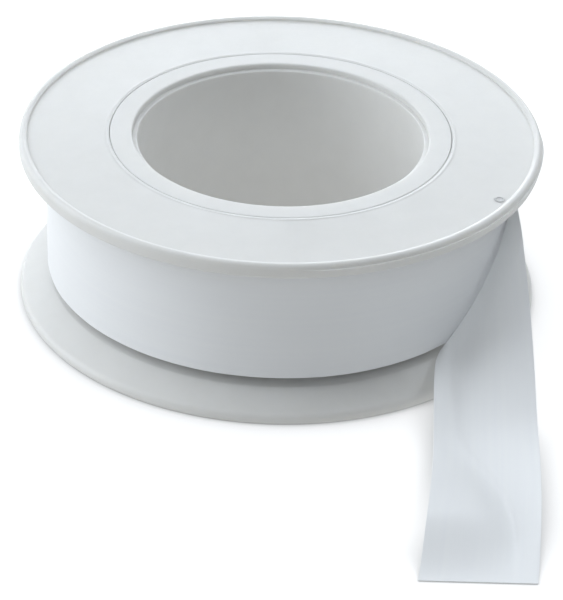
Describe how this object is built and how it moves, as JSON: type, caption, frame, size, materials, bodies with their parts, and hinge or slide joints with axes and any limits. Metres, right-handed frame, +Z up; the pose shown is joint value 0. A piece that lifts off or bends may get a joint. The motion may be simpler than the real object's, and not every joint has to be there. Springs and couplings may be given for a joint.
{
  "type": "thread seal tape roll",
  "caption": "White thread seal tape wound on an open flanged plastic spool with a wide bore, its loose end drawn off the roll and lying flat in front.",
  "frame": {"origin": "centre of the bore on the plane of the lower rim, which the roll lies on", "axes": "+Z up the bore; +X to the side where the tape leaves the roll; the free end runs towards -Y"},
  "size_m": [0.058, 0.0847, 0.0196],
  "materials": {
    "spool_plastic": "moulded satin white polypropylene",
    "tape_film": "soft unsintered PTFE film, satin, slightly see-through"
  },
  "bodies": {
    "spool": {"spool_body": "spool_plastic", "upper_flange": "spool_plastic", "tape_winding": "tape_film"},
    "free_tape": {"tape_end": "tape_film"}
  },
  "joints": [
    {"name": "tape_unwind", "type": "hinge", "parent": "spool", "child": "free_tape", "pos_m": [0, 0, 0], "axis": [0, 0, 1], "continuous": true}
  ]
}
